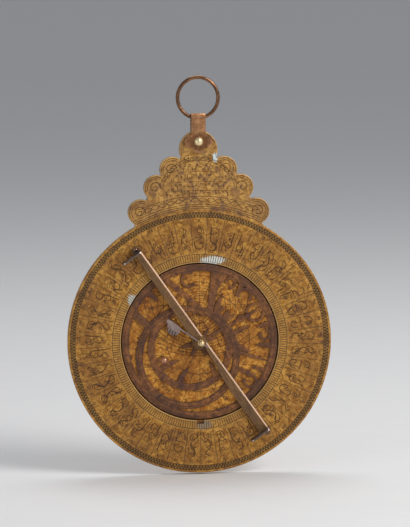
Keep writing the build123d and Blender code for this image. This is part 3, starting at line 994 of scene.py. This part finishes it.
def make_throne_panel():
    """Rows of small scrollwork under the dome, with a bent line under all but the lowest."""
    hand = random.Random(5)
    strokes = [wave, low_bowl, high_bowl, long_tail, leaf, eye, bent_stem]
    marks, rules = [], []
    for row_z, size in panel_rows:
        half = math.sqrt(dome_r**2 - (row_z - dome_z) ** 2) - panel_margin
        x = -half
        while x < half - 2:
            bow = panel_bow * (1 - (x / dome_r) ** 2)
            stroke = hand.choice(strokes)
            lean = hand.choice((-1, 1))
            line = []
            for across, up in stroke:
                up_from_row = bow + (up - field_high / 2) * size
                line.append((x + lean * across * size + mark_lead, row_z + up_from_row))
            marks.append(line)
            x += hand.uniform(*mark_pitch)
        rules.append([(-half, row_z - row_foot), (0, row_z - row_middle), (half, row_z - row_foot)])
    pieces = [line_cuts(marks, stroke_cut, throne_face), line_cuts(rules[:3], panel_rule_cut, throne_face)]
    return carried(joined(pieces), "throne_panel", "mater", brown_inlay)


# Engraving of the latitude plate: the sky of one assumed latitude, drawn from the pole

obliquity = math.radians(23.44)
latitude = math.radians(32.0)
sky_edge = rete_r / mm - 1.2
altitude_step = 6
bearing_step = 15
bearing_cut = 0.3 * mm
hour_number_high = 3.4
equator_r = sky_edge * math.tan(math.pi / 4 - obliquity / 2)
cancer_r = equator_r * math.tan(math.pi / 4 - obliquity / 2)
horizon_z = equator_r / math.tan(latitude)
horizon_r = equator_r / math.sin(latitude)

# Rows of scrollwork on the plate, as (radius in mm, count), and the least and greatest size
plate_rows = [(30.5, 16), (45.5, 20), (53.0, 26), (16.0, 9)]
plate_scroll_size = (0.22, 0.34)


def kept_runs(places, keep):
    """The parts of a line whose places pass the test."""
    runs, run = [], []
    for place in places:
        if keep(*place):
            run.append(place)
            continue
        if len(run) > 1:
            runs.append(run)
        run = []
    if len(run) > 1:
        runs.append(run)
    return runs


def on_plate(x, z):
    return math.hypot(x, z) < sky_edge


def above_horizon(x, z):
    return on_plate(x, z) and math.hypot(x, z - horizon_z) < horizon_r


def make_altitude_circles():
    """Circles of equal height above the horizon."""
    lines = []
    for degrees in range(0, 90, altitude_step):
        height = math.radians(degrees)
        scale = equator_r / (math.sin(latitude) + math.sin(height))
        circle = arc(0, scale * math.cos(latitude), scale * math.cos(height), -90, 270, 2.0)
        lines += kept_runs(circle, on_plate)
    circles = line_cuts(lines, thin_cut, tympan_face, smooth=False)
    return carried(circles, "altitude_circles", "mater", brown_inlay)


def make_bearing_arcs():
    """The meridian across the plate, and arcs of equal bearing through the zenith, above the horizon."""
    lines = [[(0, -sky_edge), (0, sky_edge)]]
    middle_z = -equator_r * math.tan(latitude)
    for degrees in range(bearing_step - 90, 90, bearing_step):
        bearing = math.radians(degrees)
        x = equator_r / math.cos(latitude) * math.tan(bearing)
        radius = equator_r / math.cos(latitude) / math.cos(bearing)
        lines += kept_runs(arc(x, middle_z, radius, 0, 360, 1.5), above_horizon)
    arcs = line_cuts(lines, bearing_cut, tympan_face, smooth=False)
    return carried(arcs, "bearing_arcs", "mater", brown_inlay)


def hour_place(radius, hour):
    """Where a twelfth of the night falls on one of the sky's circles."""
    cosine = (horizon_z**2 + radius**2 - horizon_r**2) / (2 * horizon_z * radius)
    rising = math.acos(max(-1.0, min(1.0, cosine)))
    turn = math.pi / 2 + rising + (2 * math.pi - 2 * rising) * hour / 12
    return radius * math.cos(turn), radius * math.sin(turn)


def make_hour_lines():
    lines = [[hour_place(r, hour) for r in (cancer_r, equator_r, sky_edge)] for hour in range(1, 12)]
    cuts = [line_cuts(lines, thin_cut, tympan_face)]
    cuts += [ring_cut(r, plain_cut, tympan_face) for r in (cancer_r, equator_r, sky_edge)]
    return carried(joined(cuts), "hour_lines", "mater", dark_inlay)


def make_hour_numbers():
    numbers = []
    for hour in range(12):
        x, z = hour_place((equator_r + sky_edge) / 2, hour + 0.5)
        turn = math.degrees(math.atan2(z, x))
        reach = math.hypot(x, z)
        numbers.append(numeral(str(hour + 1), hour_number_high, reach, turn, tympan_face))
    return carried(joined(numbers), "hour_numbers", "mater", dark_inlay)


def make_plate_scrolls():
    """Small scrollwork between the hour lines and round the zenith, in the engraver's hand."""
    hand = random.Random(21)
    strokes = [wave, low_bowl, high_bowl, long_tail, leaf]
    marks = []
    for radius, count in plate_rows:
        for number in range(count):
            angle = 360 / count * (number + hand.uniform(-0.25, 0.25))
            size = hand.uniform(*plate_scroll_size)
            lean = hand.choice((-1, 1))
            stroke = hand.choice(strokes)
            line = []
            for across, up in stroke:
                line.append(cell_place(angle, lean * across * size, radius + (up - field_high / 2) * size))
            marks.append(line)
    scrolls = line_cuts(marks, stroke_cut, tympan_face)
    return carried(scrolls, "plate_scrolls", "mater", brown_inlay)


# Rete: the openwork with its front edges worn round, and its engraved circles

# Shares and widths of the openwork's circles, as the CAD model has them
rete_band = 5.4
ecliptic_share = 0.6554
ecliptic_r = ecliptic_share * (rete_r / mm - rete_band / 2)
ecliptic_out = rete_r / mm - rete_band + 0.9 - ecliptic_r - rete_band / 2
ecliptic_turn = math.radians(232)
ecliptic_x = ecliptic_out * math.cos(ecliptic_turn)
ecliptic_z = ecliptic_out * math.sin(ecliptic_turn)

# Engraved circles: distances from the rim's edge and from the ecliptic's middle line, in mm
rim_lines = (0.9, 2.0, 4.6)
ecliptic_lines = (-2.1, 0.6, 2.1)
ecliptic_ticks = 120
ecliptic_signs = 12
ecliptic_tick_cut = 0.3 * mm

# How far the front edges are worn round. The washer rides on the openwork, whose face stands back
worn_edge = 0.15 * mm
smooth_angle = math.radians(28)
rete_clear = 0.012 * mm
flush = 0.01 * mm


def make_rete_openwork():
    plate = bpy.data.objects.new("rete_openwork", nodes["rete"].data.copy())
    bpy.context.scene.collection.objects.link(plate)
    take(plate)
    bpy.ops.object.mode_set(mode="EDIT")
    bpy.ops.mesh.select_all(action="SELECT")
    bpy.ops.mesh.remove_doubles(threshold=0.002 * mm)
    bpy.ops.mesh.normals_make_consistent(inside=False)
    bpy.ops.mesh.dissolve_limited(angle_limit=math.radians(0.5))
    bpy.ops.mesh.select_all(action="DESELECT")
    bpy.ops.mesh.select_mode(type="EDGE")
    bpy.ops.mesh.edges_select_sharp(sharpness=math.radians(50))
    bpy.ops.object.mode_set(mode="OBJECT")
    places = plate.data.vertices
    for edge in plate.data.edges:
        front = all(abs(places[end].co.y - rete_face) < flush for end in edge.vertices)
        edge.select = edge.select and front
    bpy.ops.object.mode_set(mode="EDIT")
    bpy.ops.mesh.bevel(offset=worn_edge, segments=2, affect="EDGES", clamp_overlap=False)
    bpy.ops.mesh.select_all(action="SELECT")
    bpy.ops.mesh.quads_convert_to_tris()
    bpy.ops.object.mode_set(mode="OBJECT")
    bpy.ops.object.shade_smooth_by_angle(angle=smooth_angle)
    for point in plate.data.vertices:
        if point.co.y < rete_face + flush:
            point.co.y += rete_clear
    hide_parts("rete")
    return carried(plate, "rete_openwork", "rete", rete_bronze)


# How far a small leaf's edges are worn, and how much thinner than the openwork it is
leaf_edge = 0.14 * mm
leaf_clear = 0.02 * mm


def star_leaf(length, width, x, z, turn):
    """A pointed leaf nearly as thick as the openwork, its root at a place in mm, turned in degrees."""
    thick = rete_high.y - rete_low.y - leaf_clear
    level = (rete_high.y + rete_low.y) / 2
    bpy.ops.mesh.primitive_cylinder_add(
        vertices=20,
        radius=0.5,
        depth=thick,
        location=(0.5 * length * mm, level, 0),
        rotation=(math.pi / 2, 0, 0),
        scale=(length * mm, width * mm, 1),
    )
    leaf = settle(bpy.context.object)
    for point in leaf.data.vertices:
        share = max(0.0, point.co.x / (length * mm))
        point.co.z = point.co.z * (1 - share**3) + 0.12 * width * mm * math.sin(3 * share)
    take(leaf)
    edge = leaf.modifiers.new("worn", "BEVEL")
    edge.width = leaf_edge
    edge.segments = 2
    edge.limit_method = "ANGLE"
    edge.angle_limit = math.radians(60)
    bpy.ops.object.modifier_apply(modifier=edge.name)
    leaf.data.transform(Matrix.Rotation(-math.radians(turn), 4, "Y"))
    leaf.data.transform(Matrix.Translation((x * mm, 0, disc_z + z * mm)))
    bpy.ops.object.shade_smooth_by_angle(angle=smooth_angle)
    return leaf


# Small leaves of the openwork: length, width, root as (x, z) in mm, direction in degrees
hub_leaves = [
    (12.5, 4.2, -3.4, -0.8, 196),
    (9.5, 3.6, -2.2, -3.0, 238),
    (10.5, 3.6, 3.6, 1.0, 6),
    (10.0, 3.4, -0.6, 3.6, 104),
    (8.5, 3.2, 1.6, -3.6, 286),
    (8.5, 3.2, 2.8, 2.8, 58),
]


def make_hub_leaves():
    leaves = joined([star_leaf(*leaf) for leaf in hub_leaves])
    return carried(leaves, "hub_leaves", "rete", rete_bronze)


def moved(piece, x, z):
    """Shifts a piece over the face. Distances in mm."""
    piece.data.transform(Matrix.Translation((x * mm, 0, z * mm)))
    return piece


def make_rete_circles():
    cuts = [ring_cut(rete_r / mm - edge, hair_cut, rete_face) for edge in rim_lines]
    on_ecliptic = [ring_cut(ecliptic_r + off, hair_cut, rete_face) for off in ecliptic_lines]
    tick = radial_cut(ecliptic_r + 0.7, ecliptic_r + 2.0, ecliptic_tick_cut, rete_face)
    sign = radial_cut(ecliptic_r - 2.0, ecliptic_r + 2.0, plain_cut, rete_face)
    on_ecliptic.append(repeat_round(tick, ecliptic_ticks, 360 / ecliptic_ticks))
    on_ecliptic.append(repeat_round(sign, ecliptic_signs, 360 / ecliptic_signs))
    cuts += [moved(cut, ecliptic_x, ecliptic_z) for cut in on_ecliptic]
    return carried(joined(cuts), "rete_circles", "rete", rete_inlay)


# Engraving of the back: a degree scale, a sine quadrant, hour arcs and a shadow square

back_reach = 86.0
back_circles = (98.4, 95.0, 91.6, back_reach)
shadow_side = 44.0
shadow_middle = 40.0
shadow_inner = 36.0

# Marks of the degree scale, as (inner radius, outer radius, width, count)
back_marks = [
    (95.1, 98.3, thin_cut, 360),
    (91.7, 95.1, plain_cut, 72),
    (back_reach, 91.6, stroke_cut, 36),
]

# The hour arcs' radii in mm, the degrees between the lines that cross them, and the numbers' height
hour_arcs = (30, 40, 50, 60, 70, 78)
back_bearing_step = 15
back_number_high = 3.0
back_number_r = 88.8
quadrant_cut = 0.36 * mm


def make_back_scale():
    cuts = [ring_cut(radius, plain_cut, back_face) for radius in back_circles]
    for inner, outer, width, count in back_marks:
        mark = radial_cut(inner, outer, width, back_face)
        cuts.append(repeat_round(mark, count, 360 / count))
    return carried(joined(cuts), "back_scale", "mater", dark_inlay)


def make_back_numbers():
    numbers = []
    for count in range(36):
        degrees = (count % 9 + 1) * 10
        quarter = count // 9
        turn = degrees - 5 if quarter % 2 == 0 else 90 - degrees + 5
        angle = quarter * 90 + turn
        numbers.append(numeral(str(degrees), back_number_high, back_number_r, angle, back_face))
    return carried(joined(numbers), "back_numbers", "mater", dark_inlay)


def on_ring(radius, angle):
    turn = math.radians(angle)
    return radius * math.cos(turn), radius * math.sin(turn)


def make_back_quadrants():
    """Above the middle: a sine grid on one side, hour arcs and bearing lines on the other."""
    lines = [[(-back_reach, 0), (back_reach, 0)], [(0, -back_reach), (0, back_reach)]]
    for count in range(1, 12):
        off = back_reach * count / 12
        far = math.sqrt(back_reach**2 - off**2)
        lines += [[(0, off), (far, off)], [(off, 0), (off, far)]]
    for radius in hour_arcs:
        lines.append(arc(0, 0, radius, 90, 180, 3))
    for angle in range(90 + back_bearing_step, 180, back_bearing_step):
        lines.append([on_ring(hour_arcs[0], angle), on_ring(back_reach, angle)])
    cuts = line_cuts(lines, quadrant_cut, back_face, smooth=False)
    return carried(cuts, "back_quadrants", "mater", brown_inlay)


def make_shadow_square():
    lines = []
    for side in (shadow_side, shadow_middle, shadow_inner):
        lines.append([(-side, 0), (-side, -side), (side, -side), (side, 0)])
    for count in range(1, 13):
        step = shadow_side * count / 12
        inner = shadow_inner * count / 12
        for way in (-1, 1):
            lines.append([(way * step, -shadow_side), (way * inner, -shadow_inner)])
            lines.append([(way * shadow_side, -step), (way * shadow_inner, -inner)])
    cuts = line_cuts(lines, plain_cut, back_face, smooth=False)
    return carried(cuts, "shadow_square", "mater", dark_inlay)


# The comb on the wedge's head: the floors of its cut grooves, dark with painted shade

wedge_turn = 145.5
comb_start = 20.1
comb_out = 5.6
comb_pitch = 2.23
comb_lean = 14.0
comb_grooves = 4
groove_half = 1.75
groove_cut = 0.44 * mm
groove_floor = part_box("horse_wedge")[0].y + 0.9 * mm


def make_comb_lines():
    along, up = math.radians(wedge_turn), math.radians(wedge_turn + 90)
    lean = math.radians(wedge_turn + 90 + comb_lean)
    lines = []
    for number in range(comb_grooves):
        out = comb_start + number * comb_pitch
        x = out * math.cos(along) + comb_out * math.cos(up)
        z = out * math.sin(along) + comb_out * math.sin(up)
        dx, dz = groove_half * math.cos(lean), groove_half * math.sin(lean)
        lines.append([(x - dx, z - dz), (x + dx, z + dz)])
    cuts = line_cuts(lines, groove_cut, groove_floor, smooth=False)
    # Painted shade on the groove floors, in the rim inlay's colour
    return carried(cuts, "comb_lines", "wedge", rim_inlay)


make_rete_openwork()
make_rete_circles()
make_hub_leaves()
make_comb_lines()
make_back_scale()
make_back_numbers()
make_back_quadrants()
make_shadow_square()
make_limb_circles()
make_limb_ticks()
make_rim_ladder()
make_cell_walls()
make_cell_scrolls()
make_cell_numbers()
make_throne_borders()
make_throne_strands()
make_throne_curls()
make_throne_panel()
make_altitude_circles()
make_bearing_arcs()
make_hour_lines()
make_hour_numbers()
make_plate_scrolls()


# Camera, lamps, floor

# The photograph's view: degrees round and above the face, its lean, and the picture's own measures
view_round = -6.6
view_above = 6.2
view_lean = 0.4
picture_w = 410
picture_h = 527
pixels_per_mm = 1.3248
disc_in_picture = (200.0, 341.8)
camera_away = 2.6
sensor = 36.0

# The floor's side in metres, and how far it lies under the disc
floor_size = 60
floor_gap = 1.2 * mm


def make_camera():
    data = bpy.data.cameras.new("camera")
    data.sensor_width = sensor
    data.lens = pixels_per_mm / mm * camera_away * sensor / picture_h
    data.clip_end = 100
    camera = bpy.data.objects.new("camera", data)
    bpy.context.scene.collection.objects.link(camera)
    around, above = math.radians(view_round), math.radians(view_above)
    level = math.cos(above)
    back = Vector((math.sin(around) * level, -math.cos(around) * level, math.sin(above)))
    aim = (-back).to_track_quat("-Z", "Y").to_matrix().to_4x4()
    aim = aim @ Matrix.Rotation(-math.radians(view_lean), 4, "Z")
    right, up = aim.col[0].xyz, aim.col[1].xyz
    off_x = (picture_w / 2 - disc_in_picture[0]) / pixels_per_mm * mm
    off_z = (disc_in_picture[1] - picture_h / 2) / pixels_per_mm * mm
    target = Vector((0, limb_face, disc_z)) + right * off_x + up * off_z
    camera.matrix_world = Matrix.Translation(target + back * camera_away) @ aim
    bpy.context.scene.camera = camera


def make_lamp(name, place, target, size, power, colour=(1, 1, 1)):
    data = bpy.data.lights.new(name, "AREA")
    data.shape = "RECTANGLE"
    data.size, data.size_y = size
    data.energy = power
    data.color = colour
    lamp = bpy.data.objects.new(name, data)
    lamp.location = place
    lamp.rotation_euler = (Vector(target) - Vector(place)).to_track_quat("-Z", "Y").to_euler()
    bpy.context.scene.collection.objects.link(lamp)


def make_floor():
    bpy.ops.mesh.primitive_plane_add(size=floor_size, location=(0, 0, limb_low.z - floor_gap))
    floor = bpy.context.object
    floor.name = "floor"
    bpy.ops.object.mode_set(mode="EDIT")
    bpy.ops.mesh.subdivide(number_cuts=4)
    bpy.ops.object.mode_set(mode="OBJECT")
    paper = bpy.data.materials.new("pale_floor")
    paper.use_nodes = True
    tree = paper.node_tree
    shader = tree.nodes["Principled BSDF"]
    place = tree.nodes.new("ShaderNodeTexCoord").outputs["Object"]
    grain = noise(tree, place, 30, 4, 0.6)
    colour = mixed(tree, grain, tone(216, 217, 218), tone(222, 222, 222))
    tree.links.new(colour, shader.inputs["Base Color"])
    shader.inputs["Roughness"].default_value = 0.8
    floor.data.materials.append(paper)


def make_world():
    world = bpy.data.worlds.new("studio")
    bpy.context.scene.world = world
    world.use_nodes = True
    sky = world.node_tree.nodes["Background"]
    sky.inputs["Color"].default_value = (0.93, 0.95, 1.0, 1)
    sky.inputs["Strength"].default_value = 0.36


make_camera()
middle = (0, 0, disc_z)
make_lamp("key", (1.3, -1.2, 1.0), middle, (1.0, 1.0), 34, (1.0, 0.97, 0.93))
make_lamp("fill", (-1.6, -1.4, 0.2), middle, (1.2, 1.2), 6, (0.95, 0.97, 1.0))
make_lamp("top", (0.2, 0.5, 1.5), middle, (1.4, 0.8), 12)
make_floor()
make_world()

view_settings = bpy.context.scene.view_settings
view_settings.view_transform = "Standard"
